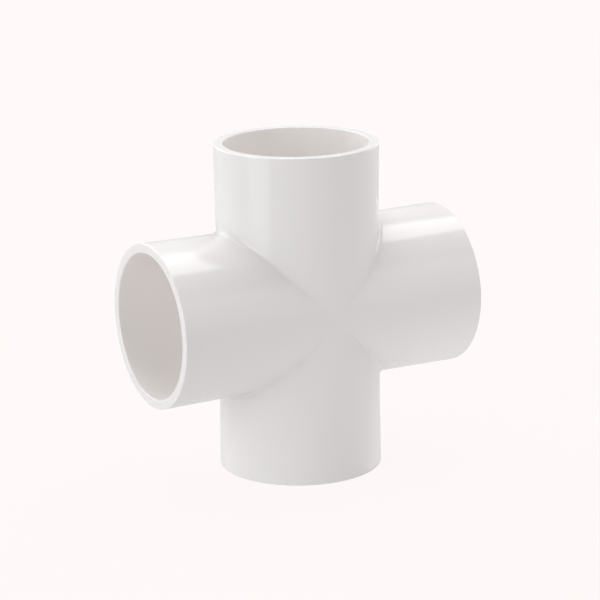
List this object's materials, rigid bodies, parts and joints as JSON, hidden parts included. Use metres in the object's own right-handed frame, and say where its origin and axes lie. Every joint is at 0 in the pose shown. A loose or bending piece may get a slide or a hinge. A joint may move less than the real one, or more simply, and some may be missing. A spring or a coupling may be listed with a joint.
{
  "type": "cross pipe fitting",
  "caption": "Equal pipe cross with plain slip sockets on two crossing runs, for joining solvent-cemented plastic pressure pipes at right angles.",
  "frame": {"origin": "the point where the axes of the two runs cross, at the centre of the fitting", "axes": "+Z along one run, which stands on its lower rim; +X along the other run; +Y square to the plane that holds both runs"},
  "size_m": [0.115, 0.057, 0.115],
  "materials": {
    "white_pvc": "moulded gloss, slightly warm white"
  },
  "bodies": {
    "root": {"cross_body": "white_pvc"}
  },
  "joints": []
}
